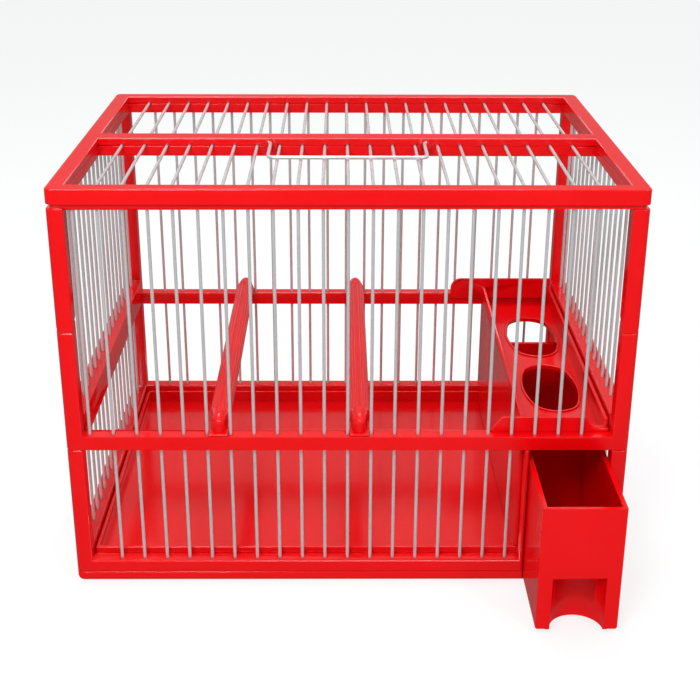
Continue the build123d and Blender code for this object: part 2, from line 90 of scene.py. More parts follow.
# Drawn steel: its lines are stretched along the wire
LINE_SCALE = 2600.0
LINE_STRETCH = 0.02
LINE_STRENGTH = 0.12
LINE_HEIGHT = 0.08 * MM
TARNISH_SCALE = 45.0
TARNISH_DARKENING = 0.78
WIRE_ROUGHNESS = 0.2
HANDLE_ROUGHNESS = 0.14

# Rows of wires: one wire's points span less than WIRE_SPAN times its thickness
WIRE_SPAN = 1.25
WIRE_SIDES = 20
WIDEST_STEP = 20.0 * MM
STEP_SLACK = 0.2 * MM

# Perch rods and caps
POINTS_PER_FLUTE = 10
FLUTE_SHARPNESS = 0.7
CAP_SIDES = 32
COLLAR_LENGTH = 1.0 * MM
COLLAR_SHARE = 0.9
SHOULDER_SHARE = 0.97
NECK_FLARE = 0.3 * MM
NOSE_STEPS = 7
NOSE_TIP_SHARE = 0.2
ROUND = 2.0
NECK_SQUARENESS = 3.0
NOSE_SQUARENESS = 6.0
CAP_WELD = 0.02 * MM
FOOT_FRONT_SHARE = 0.45
LIP_WIDTH_SHARE = 0.8
LIP_OVERLAP = 0.5 * MM

# A block's faces: each corner's number is 4 for its right, 2 for its rear and 1 for its top
BLOCK_FACES = (
    (0, 2, 6, 4),
    (1, 5, 7, 3),
    (0, 4, 5, 1),
    (2, 3, 7, 6),
    (0, 1, 3, 2),
    (4, 6, 7, 5),
)

# The tab at the rear of the feeder housing
HOUSING_WALL = 3.0 * MM
TAB_DEPTH = 6.0 * MM
TAB_FOOT = 86.0 * MM
TAB_GAP = 8.0 * MM
TAB_SETBACK = 0.2 * MM

# Carry handle
HANDLE_PIN = 2.5 * MM
PIVOT_BEND = 1.3 * MM
BEND_STEPS = 8
HANDLE_RINGS = 6

# Stage: a sky stop is a height and a grey; a light is a name, a place, a size and a power in watts
FLOOR_REACH = 6.0
FLOOR_COLOUR = (0.22, 0.23, 0.23, 1.0)
FLOOR_GLOW = 0.75
SKY_STOPS = ((0.0, 0.95), (0.11, 0.95), (0.17, 0.16), (1.0, 1.0))
LIGHTS = (
    ("key_light", (-0.22, -0.72, 0.72), 0.26, 4.6),
    ("fill_light", (0.50, -0.68, 0.62), 0.16, 1.5),
    ("top_light", (0.0, 0.35, 1.10), 0.50, 6.0),
)
LIGHT_AIM = (0, 0, 0.08)

WIRE_ROWS = ("front_wires", "short_front_wires", "rear_wires", "left_wires", "right_wires")
FRAMES = ("bottom_ring", "middle_ring", "upper_ring", "top_frame")
FEEDER = {"feeder_housing": 0.6 * MM, "feeder_drawer": 1.2 * MM, "drawer_divider": 0.6 * MM}
PERCHES = ("left", "right")


def node_size(node):
    """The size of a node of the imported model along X, Y and Z."""
    low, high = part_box(node)
    return high - low


WIRE_DIAMETER = node_size("rear_wires").y
HANDLE_DIAMETER = node_size("carry_handle").z


class PlasticSettings(bpy.types.PropertyGroup):
    """Colours and gloss of the moulded plastic."""

    colour: bpy.props.FloatVectorProperty(
        name="Plastic colour",
        description="Main colour of every moulded piece",
        subtype="COLOR",
        size=3,
        min=0.0,
        max=1.0,
        default=(0.72, 0.0010, 0.0030),
    )
    deep_colour: bpy.props.FloatVectorProperty(
        name="Deep colour",
        description="Colour of the plastic where the melt ran thick",
        subtype="COLOR",
        size=3,
        min=0.0,
        max=1.0,
        default=(0.65, 0.0005, 0.0020),
    )
    roughness: bpy.props.FloatProperty(
        name="Roughness", description="How matt the plastic is", min=0.0, max=1.0, default=0.15
    )
    edge_radius: bpy.props.FloatProperty(
        name="Edge radius",
        description="Rounding of the moulded edges",
        unit="LENGTH",
        min=0.0,
        default=1.0 * MM,
    )


class WireSettings(bpy.types.PropertyGroup):
    """Sizes and colour of the wires and the handle."""

    diameter: bpy.props.FloatProperty(
        name="Wire diameter",
        description="Thickness of the cage wires",
        unit="LENGTH",
        min=0.0,
        default=WIRE_DIAMETER,
    )
    handle_diameter: bpy.props.FloatProperty(
        name="Handle diameter",
        description="Thickness of the handle's wire",
        unit="LENGTH",
        min=0.0,
        default=HANDLE_DIAMETER,
    )
    handle_bend: bpy.props.FloatProperty(
        name="Handle bend",
        description="Radius of the handle's two long corners",
        unit="LENGTH",
        min=0.0,
        default=4.0 * MM,
    )
    colour: bpy.props.FloatVectorProperty(
        name="Steel colour",
        description="Colour of the drawn steel",
        subtype="COLOR",
        size=3,
        min=0.0,
        max=1.0,
        default=(0.74, 0.765, 0.775),
    )


class PerchSettings(bpy.types.PropertyGroup):
    """Sizes of the fluted perch rods and their end caps."""

    flutes: bpy.props.IntProperty(
        name="Flutes", description="Grooves round each perch rod", min=3, default=16
    )
    flute_depth: bpy.props.FloatProperty(
        name="Flute depth",
        description="How deep each groove is",
        unit="LENGTH",
        min=0.0,
        default=0.5 * MM,
    )
    rod_setback: bpy.props.FloatProperty(
        name="Rod setback",
        description="How much thinner the rod is than its caps, from the middle",
        unit="LENGTH",
        min=0.0,
        default=0.4 * MM,
    )
    bracket_length: bpy.props.FloatProperty(
        name="Bracket length",
        description="Length of each cap that shows beyond the fluted rod",
        unit="LENGTH",
        min=0.0,
        default=15.0 * MM,
    )
    nose_length: bpy.props.FloatProperty(
        name="Nose length",
        description="Length of the part of a cap that turns down to the rail",
        unit="LENGTH",
        min=0.0,
        default=7.0 * MM,
    )
    nose_setback: bpy.props.FloatProperty(
        name="Nose setback",
        description="How far the nose stays behind the front of the foot",
        unit="LENGTH",
        min=0.0,
        default=1.8 * MM,
    )
    nose_share: bpy.props.FloatProperty(
        name="Nose share",
        description="Width of a cap's nose as a share of its round part's",
        min=0.0,
        max=1.0,
        default=0.72,
    )
    foot_reach: bpy.props.FloatProperty(
        name="Foot reach",
        description="How far a cap's foot reaches over the rail",
        unit="LENGTH",
        min=0.0,
        default=9.15 * MM,
    )
    foot_width: bpy.props.FloatProperty(
        name="Foot width",
        description="Width of a cap's foot",
        unit="LENGTH",
        min=0.0,
        default=10.2 * MM,
    )
    foot_height: bpy.props.FloatProperty(
        name="Foot height",
        description="Height of a cap's foot",
        unit="LENGTH",
        min=0.0,
        default=2.4 * MM,
    )
    lip_drop: bpy.props.FloatProperty(
        name="Lip drop",
        description="How far a cap's lip hangs behind the rail",
        unit="LENGTH",
        min=0.0,
        default=5.1 * MM,
    )
    lip_thickness: bpy.props.FloatProperty(
        name="Lip thickness",
        description="Thickness of a cap's lip",
        unit="LENGTH",
        min=0.0,
        default=2.6 * MM,
    )


class StageSettings(bpy.types.PropertyGroup):
    """The camera and the studio light."""

    camera_place: bpy.props.FloatVectorProperty(
        name="Camera place",
        description="Where the camera stands",
        subtype="TRANSLATION",
        unit="LENGTH",
        size=3,
        default=(-0.00443, -0.72909, 0.39661),
    )
    pitch: bpy.props.FloatProperty(
        name="Pitch",
        description="How far the camera looks down",
        subtype="ANGLE",
        default=math.radians(22.707),
    )
    yaw: bpy.props.FloatProperty(
        name="Yaw",
        description="Turn of the camera to the left",
        subtype="ANGLE",
        default=math.radians(-0.506),
    )
    roll: bpy.props.FloatProperty(
        name="Roll",
        description="Tilt of the picture",
        subtype="ANGLE",
        default=math.radians(0.2206),
    )
    sky: bpy.props.FloatProperty(
        name="Sky",
        description="How bright the sky is; a low band of it is darker",
        min=0.0,
        default=1.0,
    )
    reflected_floor: bpy.props.FloatProperty(
        name="Reflected floor",
        description="How bright the floor is where the plastic and the steel mirror it",
        min=0.0,
        default=0.14,
    )
    field_of_view: bpy.props.FloatProperty(
        name="Field of view",
        description="Angle across the square picture",
        subtype="ANGLE",
        default=math.radians(30.355),
    )


class Socket:
    """An output of a shader node that Python's own operators can work on."""

    def __init__(self, tree, output):
        self.tree = tree
        self.output = output

    def _math(self, operation, first, second):
        node = self.tree.nodes.new("ShaderNodeMath")
        node.operation = operation
        for place, value in enumerate((first, second)):
            if isinstance(value, Socket):
                self.tree.links.new(value.output, node.inputs[place])
            else:
                node.inputs[place].default_value = value
        return Socket(self.tree, node.outputs[0])

    def __add__(self, other):
        return self._math("ADD", self, other)

    def __mul__(self, other):
        return self._math("MULTIPLY", self, other)

    def __sub__(self, other):
        return self._math("SUBTRACT", self, other)

    def __rsub__(self, other):
        return self._math("SUBTRACT", other, self)

    __radd__ = __add__
    __rmul__ = __mul__


class Shader:
    """A new material with one method that adds any node."""

    def __init__(self, name):
        self.material = bpy.data.materials.new(name)
        self.material.use_nodes = True
        self.tree = self.material.node_tree
        self.surface = self.tree.nodes["Principled BSDF"]

    def node(self, kind, settings=None, inputs=None, output=0):
        """Add a node with its settings and inputs; give back one of its outputs."""
        made = self.tree.nodes.new(kind)
        for name, value in (settings or {}).items():
            if name == "stops":
                ramp = made.color_ramp
                while len(ramp.elements) < len(value):
                    ramp.elements.new(0.5)
                for element, (position, colour) in zip(ramp.elements, value):
                    element.position = position
                    element.color = colour
            else:
                setattr(made, name, value)
        for name, value in (inputs or {}).items():
            self.fill(made.inputs[name], value)
        return Socket(self.tree, made.outputs[output])

    def fill(self, socket, value):
        """Give a socket its link or its plain value."""
        if isinstance(value, Socket):
            self.tree.links.new(value.output, socket)
        else:
            socket.default_value = value

    def finish(self, **inputs):
        """Fill the surface's sockets, named with underscores for blanks."""
        for name, value in inputs.items():
            self.fill(self.surface.inputs[name.replace("_", " ")], value)
        return self.material


def noise(shader, where, scale, detail=3.0, roughness=0.5):
    """A soft noise from 0 to 1 at so many waves a metre."""
    return shader.node(
        "ShaderNodeTexNoise",
        inputs={"Vector": where, "Scale": scale, "Detail": detail, "Roughness": roughness},
    )


def bump(shader, height, strength, distance):
    """A normal that follows a height map."""
    return shader.node(
        "ShaderNodeBump", inputs={"Height": height, "Strength": strength, "Distance": distance}
    )


def mixed(shader, mask, low, high):
    """A colour between two others."""
    made = shader.tree.nodes.new("ShaderNodeMix")
    made.data_type = "RGBA"
    shader.fill(made.inputs["Factor"], mask)
    colours = [socket for socket in made.inputs if socket.type == "RGBA"]
    shader.fill(colours[0], (*low, 1.0))
    shader.fill(colours[1], (*high, 1.0))
    result = [socket for socket in made.outputs if socket.type == "RGBA"][0]
    return Socket(shader.tree, result)


def moulded_plastic(name, stretch=(1.0, 1.0, 1.0)):
    """Glossy moulded plastic with slow flow marks, faint waviness and duller rubbed patches."""
    settings = bpy.context.scene.cage_plastic
    shader = Shader(name)
    place = shader.node("ShaderNodeTexCoord", output=3)
    flow_place = shader.node("ShaderNodeMapping", inputs={"Vector": place, "Scale": stretch})
    flow = noise(shader, flow_place, FLOW_SCALE, 2.0)
    waves = noise(shader, flow_place, WAVE_SCALE, 1.0)
    rubbed = noise(shader, place, RUB_SCALE, 5.0, 0.6)
    scuffs = shader.node(
        "ShaderNodeValToRGB", settings={"stops": SCUFF_STOPS}, inputs={"Fac": rubbed}
    )
    colour = mixed(shader, flow, settings.deep_colour, settings.colour)
    rough = settings.roughness + flow * FLOW_DULLING + scuffs * SCUFF_DULLING
    return shader.finish(
        Base_Color=colour,
        Roughness=rough,
        Normal=bump(shader, waves, WAVE_STRENGTH, WAVE_HEIGHT),
        Specular_IOR_Level=0.36,
        Coat_Weight=0.10,
        Coat_Roughness=0.04,
    )


def drawn_steel(name, colour, grain_axis, roughness):
    """Bright drawn wire: fine lines along its length and a little tarnish."""
    shader = Shader(name)
    place = shader.node("ShaderNodeTexCoord", output=3)
    stretch = [1.0, 1.0, 1.0]
    stretch[grain_axis] = LINE_STRETCH
    along = shader.node("ShaderNodeMapping", inputs={"Vector": place, "Scale": stretch})
    lines = noise(shader, along, LINE_SCALE, 3.0, 0.6)
    tarnish = noise(shader, place, TARNISH_SCALE, 4.0)
    dark = tuple(channel * TARNISH_DARKENING for channel in colour)
    base = mixed(shader, tarnish * 0.6 + lines * 0.3, dark, colour)
    return shader.finish(
        Base_Color=base,
        Metallic=0.5,
        Roughness=roughness + lines * 0.10 + tarnish * 0.06,
        Normal=bump(shader, lines, LINE_STRENGTH, LINE_HEIGHT),
    )


def dress(piece, body, material, nodes):
    """Give a finished piece its material and its body, and hide the nodes that it stands for."""
    piece.data.materials.clear()
    piece.data.materials.append(material)
    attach(piece, body)
    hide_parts(*nodes)


def link_mesh(name, mesh):
    """A new object with a mesh, in the scene."""
    piece = bpy.data.objects.new(name, mesh)
    bpy.context.scene.collection.objects.link(piece)
    return piece


def evaluated_mesh(piece):
    """The plain mesh that an object's modifiers make."""
    graph = bpy.context.evaluated_depsgraph_get()
    return bpy.data.meshes.new_from_object(piece.evaluated_get(graph))


def keep_result(piece):
    """Let an object's mesh be what its modifiers make, without the modifiers."""
    bpy.context.view_layer.update()
    before = piece.data
    made = evaluated_mesh(piece)
    piece.modifiers.clear()
    piece.data = made
    name = before.name
    bpy.data.meshes.remove(before)
    made.name = name


def smooth_by_angle(piece, angle=SMOOTH_ANGLE):
    """Smooth shading except over sharp corners."""
    piece.data.shade_smooth()
    piece.data.set_sharp_from_angle(angle=angle)


def edge_chains(sharp):
    """Runs of sharp edges that carry on from one to the next without a corner."""
    left = set(sharp)
    while left:
        chain = [left.pop()]
        for edge in chain:
            along = (edge.verts[1].co - edge.verts[0].co).normalized()
            for vertex in edge.verts:
                for other in vertex.link_edges:
                    reach = (other.other_vert(vertex).co - vertex.co).normalized()
                    if other in left and abs(reach.dot(along)) > RUN_ON:
                        left.remove(other)
                        chain.append(other)
        yield chain


def room_beside(edge, sharp):
    """The shortest sharp edge that leaves an edge's ends at a corner, or the width of a facet."""
    along = (edge.verts[1].co - edge.verts[0].co).normalized()
    reaches = [
        other.other_vert(vertex).co - vertex.co
        for vertex in edge.verts
        for other in vertex.link_edges
        if other in sharp
    ]
    rooms = [reach.length for reach in reaches if abs(reach.normalized().dot(along)) <= RUN_ON]
    length = edge.calc_length()
    if length < FACET_LENGTH:
        rooms += [face.calc_area() / length for face in edge.link_faces]
    return min(rooms, default=1.0)


def shows(edge, hidden_below):
    """Whether both ends of an edge are above the height below which nothing shows."""
    return all(vertex.co.z > hidden_below for vertex in edge.verts)


def weigh_edges(work, radius, hidden_below):
    """Give each run of sharp edges that shows one bevel weight, less where there is little room."""
    layer = work.edges.layers.float.new("bevel_weight_edge")
    sharp = {
        edge
        for edge in work.edges
        if len(edge.link_faces) == 2
        and edge.calc_face_angle_signed(0.0) > SHARP_ANGLE
        and shows(edge, hidden_below)
    }
    for chain in edge_chains(sharp):
        room = min(room_beside(edge, sharp) for edge in chain)
        for edge in chain:
            edge[layer] = min(1.0, EDGE_SHARE * room / radius)


def copy_of_node(node, hidden_below):
    """A node's mesh with its doubles merged and its flat faces joined where they show."""
    work = bmesh.new()
    work.from_mesh(frame["nodes"][node].data)
    bmesh.ops.remove_doubles(work, verts=work.verts, dist=1e-6)
    bmesh.ops.dissolve_limit(
        work,
        angle_limit=FLAT_ANGLE,
        verts=[vertex for vertex in work.verts if vertex.co.z > hidden_below],
        edges=[edge for edge in work.edges if shows(edge, hidden_below)],
    )
    return work


def rounded_piece(work, name, radius, hidden_below=ALL_SHOWS):
    """A plain object from a bmesh, its sharp edges that show rounded and its flats kept flat."""
    bmesh.ops.connect_verts_concave(work, faces=work.faces)
    weigh_edges(work, radius, hidden_below)
    mesh = bpy.data.meshes.new(name)
    work.to_mesh(mesh)
    work.free()
    piece = link_mesh(name, mesh)
    smooth_by_angle(piece)
    bevel = piece.modifiers.new("soft_edges", "BEVEL")
    bevel.width = radius
    bevel.segments = EDGE_STEPS
    bevel.limit_method = "WEIGHT"
    bevel.use_clamp_overlap = False
    keep_result(piece)
    smooth_by_angle(piece)
    flatten = piece.modifiers.new("flat_faces", "WEIGHTED_NORMAL")
    flatten.mode = "FACE_AREA"
    flatten.weight = 100
    flatten.keep_sharp = True
    keep_result(piece)
    return piece


def body_of_node(node):
    """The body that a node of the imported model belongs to."""
    for body, members in frame["record"]["behaviour"]["bodies"].items():
        if node in members:
            return body
    raise ValueError(f"{node} is in no body")


def soften_and_dress(node, material, radius, hidden_below=ALL_SHOWS):
    """Round a node's edges and let the copy stand for it."""
    work = copy_of_node(node, hidden_below)
    if node == "feeder_housing":
        reach_side_wall(work)
    piece = rounded_piece(work, f"{node}_moulded", radius, hidden_below)
    dress(piece, body_of_node(node), material, [node])


def reach_side_wall(work):
    """Carry the housing's rear tab on to its side wall."""
    wall = max(vertex.co.x for vertex in work.verts)
    rear = max(vertex.co.y for vertex in work.verts)
    for vertex in work.verts:
        in_tab = vertex.co.y > rear - TAB_DEPTH and vertex.co.z > TAB_FOOT
        if in_tab and wall - TAB_GAP < vertex.co.x < wall - HOUSING_WALL:
            vertex.co.x = wall - TAB_SETBACK


def geometry_tree(name, sockets):
    """A new geometry node tree with named inputs and one geometry output."""
    tree = bpy.data.node_groups.new(name, "GeometryNodeTree")
    for label, kind in sockets:
        tree.interface.new_socket(label, in_out="INPUT", socket_type=kind)
    tree.interface.new_socket("Geometry", in_out="OUTPUT", socket_type="NodeSocketGeometry")
    given = tree.nodes.new("NodeGroupInput")
    result = tree.nodes.new("NodeGroupOutput")
    return tree, given, result


def plain_piece(name, tree, values):
    """Run a geometry tree with its named values and keep the result as a plain mesh."""
    piece = link_mesh(name, bpy.data.meshes.new(name))
    modifier = piece.modifiers.new("build", "NODES")
    modifier.node_group = tree
    for item in tree.interface.items_tree:
        if item.item_type == "SOCKET" and item.in_out == "INPUT":
            modifier[item.identifier] = values[item.name]
    keep_result(piece)
    return piece


def wire_row_tree():
    """Equal straight wires in a row, from the first one's lower end."""
    tree, given, result = geometry_tree(
        "wire_row",
        [
            ("Start", "NodeSocketVector"),
            ("Step", "NodeSocketVector"),
            ("Run", "NodeSocketVector"),
            ("Count", "NodeSocketInt"),
            ("Radius", "NodeSocketFloat"),
            ("Sides", "NodeSocketInt"),
            ("Material", "NodeSocketMaterial"),
        ],
    )
    add = tree.nodes.new
    link = tree.links.new
    row = add("GeometryNodeMeshLine")
    row.mode = "OFFSET"
    link(given.outputs["Count"], row.inputs["Count"])
    link(given.outputs["Start"], row.inputs["Start Location"])
    link(given.outputs["Step"], row.inputs["Offset"])
    axis = add("GeometryNodeCurvePrimitiveLine")
    link(given.outputs["Run"], axis.inputs["End"])
    ring = add("GeometryNodeCurvePrimitiveCircle")
    link(given.outputs["Sides"], ring.inputs["Resolution"])
    link(given.outputs["Radius"], ring.inputs["Radius"])
    tube = add("GeometryNodeCurveToMesh")
    tube.inputs["Fill Caps"].default_value = True
    link(axis.outputs["Curve"], tube.inputs["Curve"])
    link(ring.outputs["Curve"], tube.inputs["Profile Curve"])
    place = add("GeometryNodeInstanceOnPoints")
    link(row.outputs["Mesh"], place.inputs["Points"])
    link(tube.outputs["Mesh"], place.inputs["Instance"])
    real = add("GeometryNodeRealizeInstances")
    link(place.outputs["Instances"], real.inputs["Geometry"])
    paint = add("GeometryNodeSetMaterial")
    link(real.outputs["Geometry"], paint.inputs["Geometry"])
    link(given.outputs["Material"], paint.inputs["Material"])
    link(paint.outputs["Geometry"], result.inputs["Geometry"])
    return tree


def wire_columns(node, along):
    """Where the wires of a node stand: the sorted middles of its loose parts along one axis."""
    mesh = frame["nodes"][node].data
    spans = []
    for value in sorted(vertex.co[along] for vertex in mesh.vertices):
        if not spans or value - spans[-1][0] > WIRE_SPAN * WIRE_DIAMETER:
            spans.append([value, value])
        spans[-1][1] = value
    return [(low + high) / 2 for low, high in spans]


def even_rows(columns):
    """The columns of a wall of wires, parted into rows of even spacing."""
    rows = []
    for column in columns:
        row = rows[-1] if rows else []
        if len(row) == 1 and column - row[0] < WIDEST_STEP:
            row.append(column)
        elif len(row) > 1 and abs(column - row[-1] - row[1] + row[0]) < STEP_SLACK:
            row.append(column)
        else:
            rows.append([column])
    return rows


def steel_row(tree, node, along, run, material):
    """Replace a node's wires by round ones; along is the axis of the row, run that of the wires."""
    low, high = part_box(node)
    middle = (low + high) / 2
    pieces = []
    for number, group in enumerate(even_rows(wire_columns(node, along))):
        start = middle.copy()
        start[along] = group[0]
        start[run] = low[run]
        step = Vector((0, 0, 0))
        step[along] = group[1] - group[0] if len(group) > 1 else 0.0
        reach = Vector((0, 0, 0))
        reach[run] = high[run] - low[run]
        pieces.append(
            plain_piece(
                f"{node}_steel_{number}",
                tree,
                {
                    "Start": start,
                    "Step": step,
                    "Run": reach,
                    "Count": len(group),
                    "Radius": bpy.context.scene.cage_wire.diameter / 2,
                    "Sides": WIRE_SIDES,
                    "Material": material,
                },
            )
        )
    for piece in pieces:
        smooth_by_angle(piece)
        dress(piece, body_of_node(node), material, [node])


class CAGE_OT_frames(bpy.types.Operator):
    """Round the edges of the four stacked frames and give them their plastic"""

    bl_idname = "cage.frames"
    bl_label = "Frames"

    def execute(self, context):
        plastic = moulded_plastic("frame_plastic")
        for node in FRAMES:
            soften_and_dress(node, plastic, context.scene.cage_plastic.edge_radius)
        return {"FINISHED"}


class CAGE_OT_tray(bpy.types.Operator):
    """Round the edges of the base tray"""

    bl_idname = "cage.tray"
    bl_label = "Base tray"

    def execute(self, context):
        plastic = moulded_plastic("tray_plastic", stretch=(1.0, 0.4, 1.0))
        soften_and_dress("base_tray", plastic, TRAY_RADIUS, TRAY_UNDERSIDE)
        return {"FINISHED"}


class CAGE_OT_feeder(bpy.types.Operator):
    """Round the edges of the feeder housing, its drawer and the partition"""

    bl_idname = "cage.feeder"
    bl_label = "Feeder"

    def execute(self, context):
        plastic = moulded_plastic("feeder_plastic", stretch=(0.5, 1.0, 0.5))
        for node, radius in FEEDER.items():
            soften_and_dress(node, plastic, radius)
        return {"FINISHED"}


def fluted_rod_tree():
    """A rod along Y whose outline waves round it, so that grooves run along it."""
    tree, given, result = geometry_tree(
        "fluted_rod",
        [
            ("Start", "NodeSocketVector"),
            ("End", "NodeSocketVector"),
            ("Radius", "NodeSocketFloat"),
            ("Flutes", "NodeSocketInt"),
            ("Depth", "NodeSocketFloat"),
            ("Material", "NodeSocketMaterial"),
        ],
    )
    add = tree.nodes.new
    link = tree.links.new

    def maths(operation, *values):
        node = add("ShaderNodeMath")
        node.operation = operation
        for place, value in enumerate(values):
            if isinstance(value, (int, float)):
                node.inputs[place].default_value = value
            else:
                link(value, node.inputs[place])
        return node.outputs[0]

    points = maths("MULTIPLY", given.outputs["Flutes"], POINTS_PER_FLUTE)
    ring = add("GeometryNodeCurvePrimitiveCircle")
    link(points, ring.inputs["Resolution"])
    link(given.outputs["Radius"], ring.inputs["Radius"])
    index = add("GeometryNodeInputIndex")
    turn = maths("MULTIPLY", maths("DIVIDE", index.outputs[0], points), 2 * math.pi)
    phase = maths("MULTIPLY", turn, maths("MULTIPLY", given.outputs["Flutes"], 0.5))
    crest = maths("POWER", maths("ABSOLUTE", maths("SINE", phase)), FLUTE_SHARPNESS)
    hollow = maths("MULTIPLY", maths("SUBTRACT", 1.0, crest), given.outputs["Depth"])
    share = maths("SUBTRACT", 1.0, maths("DIVIDE", hollow, given.outputs["Radius"]))
    where = add("GeometryNodeInputPosition")
    scaled = add("ShaderNodeVectorMath")
    scaled.operation = "SCALE"
    link(where.outputs[0], scaled.inputs[0])
    link(share, scaled.inputs["Scale"])
    waved = add("GeometryNodeSetPosition")
    link(ring.outputs["Curve"], waved.inputs["Geometry"])
    link(scaled.outputs[0], waved.inputs["Position"])
    axis = add("GeometryNodeCurvePrimitiveLine")
    link(given.outputs["Start"], axis.inputs["Start"])
    link(given.outputs["End"], axis.inputs["End"])
    rod = add("GeometryNodeCurveToMesh")
    rod.inputs["Fill Caps"].default_value = True
    link(axis.outputs["Curve"], rod.inputs["Curve"])
    link(waved.outputs["Geometry"], rod.inputs["Profile Curve"])
    real = add("GeometryNodeRealizeInstances")
    link(rod.outputs["Mesh"], real.inputs["Geometry"])
    paint = add("GeometryNodeSetMaterial")
    link(real.outputs["Geometry"], paint.inputs["Geometry"])
    link(given.outputs["Material"], paint.inputs["Material"])
    link(paint.outputs["Geometry"], result.inputs["Geometry"])
    return tree


def arch_ring(work, centre, half_width, rise, drop, squareness):
    """A closed ring of points across Y: round above its centre and squarer below."""
    ring = []
    for step in range(CAP_SIDES):
        turn = 2 * math.pi * step / CAP_SIDES
        power = 2 / squareness if math.sin(turn) < 0 else 1.0
        across = math.copysign(abs(math.cos(turn)) ** power, math.cos(turn)) * half_width
        upward = math.copysign(abs(math.sin(turn)) ** power, math.sin(turn))
        upward *= rise if upward > 0 else drop
        ring.append(work.verts.new((centre.x + across, centre.y, centre.z + upward)))
    return ring


def block(work, low, high, front_top, side):
    """A block between two corners, whose top slopes to another height at its outer end."""
    corners = []
    for x in (low.x, high.x):
        for y in (low.y, high.y):
            outer = (y == high.y) == (side > 0)
            for z in (low.z, front_top if outer else high.z):
                corners.append(work.verts.new((x, y, z)))
    for face in BLOCK_FACES:
        work.faces.new([corners[corner] for corner in face])


def nose_stations(settings, start, neck, side, radius):
    """Places along a cap's round part and nose: each a Y, a half width, a rise and a squareness."""
    width = radius * settings.nose_share
    shoulder = SHOULDER_SHARE * radius
    yield start - side * COLLAR_LENGTH, COLLAR_SHARE * radius, COLLAR_SHARE * radius, ROUND
    yield start, shoulder, shoulder, ROUND
    yield neck - side * COLLAR_LENGTH, width + NECK_FLARE, shoulder, NECK_SQUARENESS
    for step in range(NOSE_STEPS + 1):
        share = math.sin(math.pi / 2 * step / NOSE_STEPS)
        shrink = math.sqrt(max(0.0, 1 - share**2))
        rise = radius * (NOSE_TIP_SHARE + (SHOULDER_SHARE - NOSE_TIP_SHARE) * shrink)
        yield neck + side * settings.nose_length * share, width * shrink, rise, NOSE_SQUARENESS


def loft(work, rings):
    """Join rings of as many points one after another and close the first."""
    for first, second in zip(rings, rings[1:]):
        for step in range(CAP_SIDES):
            following = (step + 1) % CAP_SIDES
            work.faces.new((first[step], first[following], second[following], second[step]))
    work.faces.new(rings[0])
    bmesh.ops.remove_doubles(work, verts=work.verts, dist=CAP_WELD)


def perch_cap(node, middle_x, axis_z, plastic):
    """A cap whose nose turns down into a foot over the rail, with a lip behind the rail."""
    settings = bpy.context.scene.cage_perch
    low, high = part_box(node)
    side = 1 if high.y > 0 else -1
    tip = high.y if side > 0 else low.y
    neck = tip - side * (settings.nose_setback + settings.nose_length)
    start = tip - side * settings.bracket_length
    rail_top = low.z + settings.lip_drop
    stations = nose_stations(settings, start, neck, side, high.z - axis_z)
    drop = axis_z - rail_top
    work = bmesh.new()
    rings = [
        arch_ring(work, Vector((middle_x, y, axis_z)), width, rise, drop, squareness)
        for y, width, rise, squareness in stations
    ]
    loft(work, rings)
    foot = settings.foot_width / 2
    ends = sorted((neck, tip))
    block(
        work,
        Vector((middle_x - foot, ends[0], rail_top)),
        Vector((middle_x + foot, ends[1], rail_top + settings.foot_height)),
        rail_top + FOOT_FRONT_SHARE * settings.foot_height,
        side,
    )
    back = tip - side * settings.foot_reach
    lip = sorted((back, back - side * settings.lip_thickness))
    lip_half = foot * LIP_WIDTH_SHARE
    lip_top = rail_top + LIP_OVERLAP
    block(
        work,
        Vector((middle_x - lip_half, lip[0], low.z)),
        Vector((middle_x + lip_half, lip[1], lip_top)),
        lip_top,
        side,
    )
    bmesh.ops.recalc_face_normals(work, faces=work.faces)
    piece = rounded_piece(work, f"{node}_moulded", CAP_RADIUS)
    dress(piece, body_of_node(node), plastic, [node])


class CAGE_OT_perches(bpy.types.Operator):
    """Make the fluted perch rods and the end caps that stand on the rails"""

    bl_idname = "cage.perches"
    bl_label = "Perches"

    def execute(self, context):
        settings = context.scene.cage_perch
        plastic = moulded_plastic("perch_plastic", stretch=(1.0, 0.3, 1.0))
        tree = fluted_rod_tree()
        for side in PERCHES:
            node = f"{side}_perch_rod"
            low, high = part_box(node)
            middle = (low + high) / 2
            cap_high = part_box(f"{side}_perch_rear_cap")[1]
            reach = Vector((0, cap_high.y - settings.bracket_length, 0))
            rod = plain_piece(
                f"{node}_fluted",
                tree,
                {
                    "Start": Vector((middle.x, 0, middle.z)) - reach,
                    "End": Vector((middle.x, 0, middle.z)) + reach,
                    "Radius": cap_high.z - middle.z - settings.rod_setback,
                    "Flutes": settings.flutes,
                    "Depth": settings.flute_depth,
                    "Material": plastic,
                },
            )
            smooth_by_angle(rod, ROUND_ANGLE)
            dress(rod, body_of_node(node), plastic, [node])
            for end in ("front", "rear"):
                perch_cap(f"{side}_perch_{end}_cap", middle.x, middle.z, plastic)
        return {"FINISHED"}


class CAGE_OT_wires(bpy.types.Operator):
    """Set the rows of upright wires and the roof wires"""

    bl_idname = "cage.wires"
    bl_label = "Wires"

    def execute(self, context):
        colour = tuple(context.scene.cage_wire.colour)
        upright = drawn_steel("upright_steel", colour, 2, WIRE_ROUGHNESS)
        level = drawn_steel("roof_steel", colour, 1, WIRE_ROUGHNESS)
        tree = wire_row_tree()
        for node in WIRE_ROWS:
            along = 1 if node in ("left_wires", "right_wires") else 0
            steel_row(tree, node, along, 2, upright)
        steel_row(tree, "top_wires", 0, 1, level)
        return {"FINISHED"}


def frame_joint(name):
    """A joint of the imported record."""
    for joint in frame["joints"]:
        if joint["name"] == name:
            return joint
    raise ValueError(f"no joint {name}")


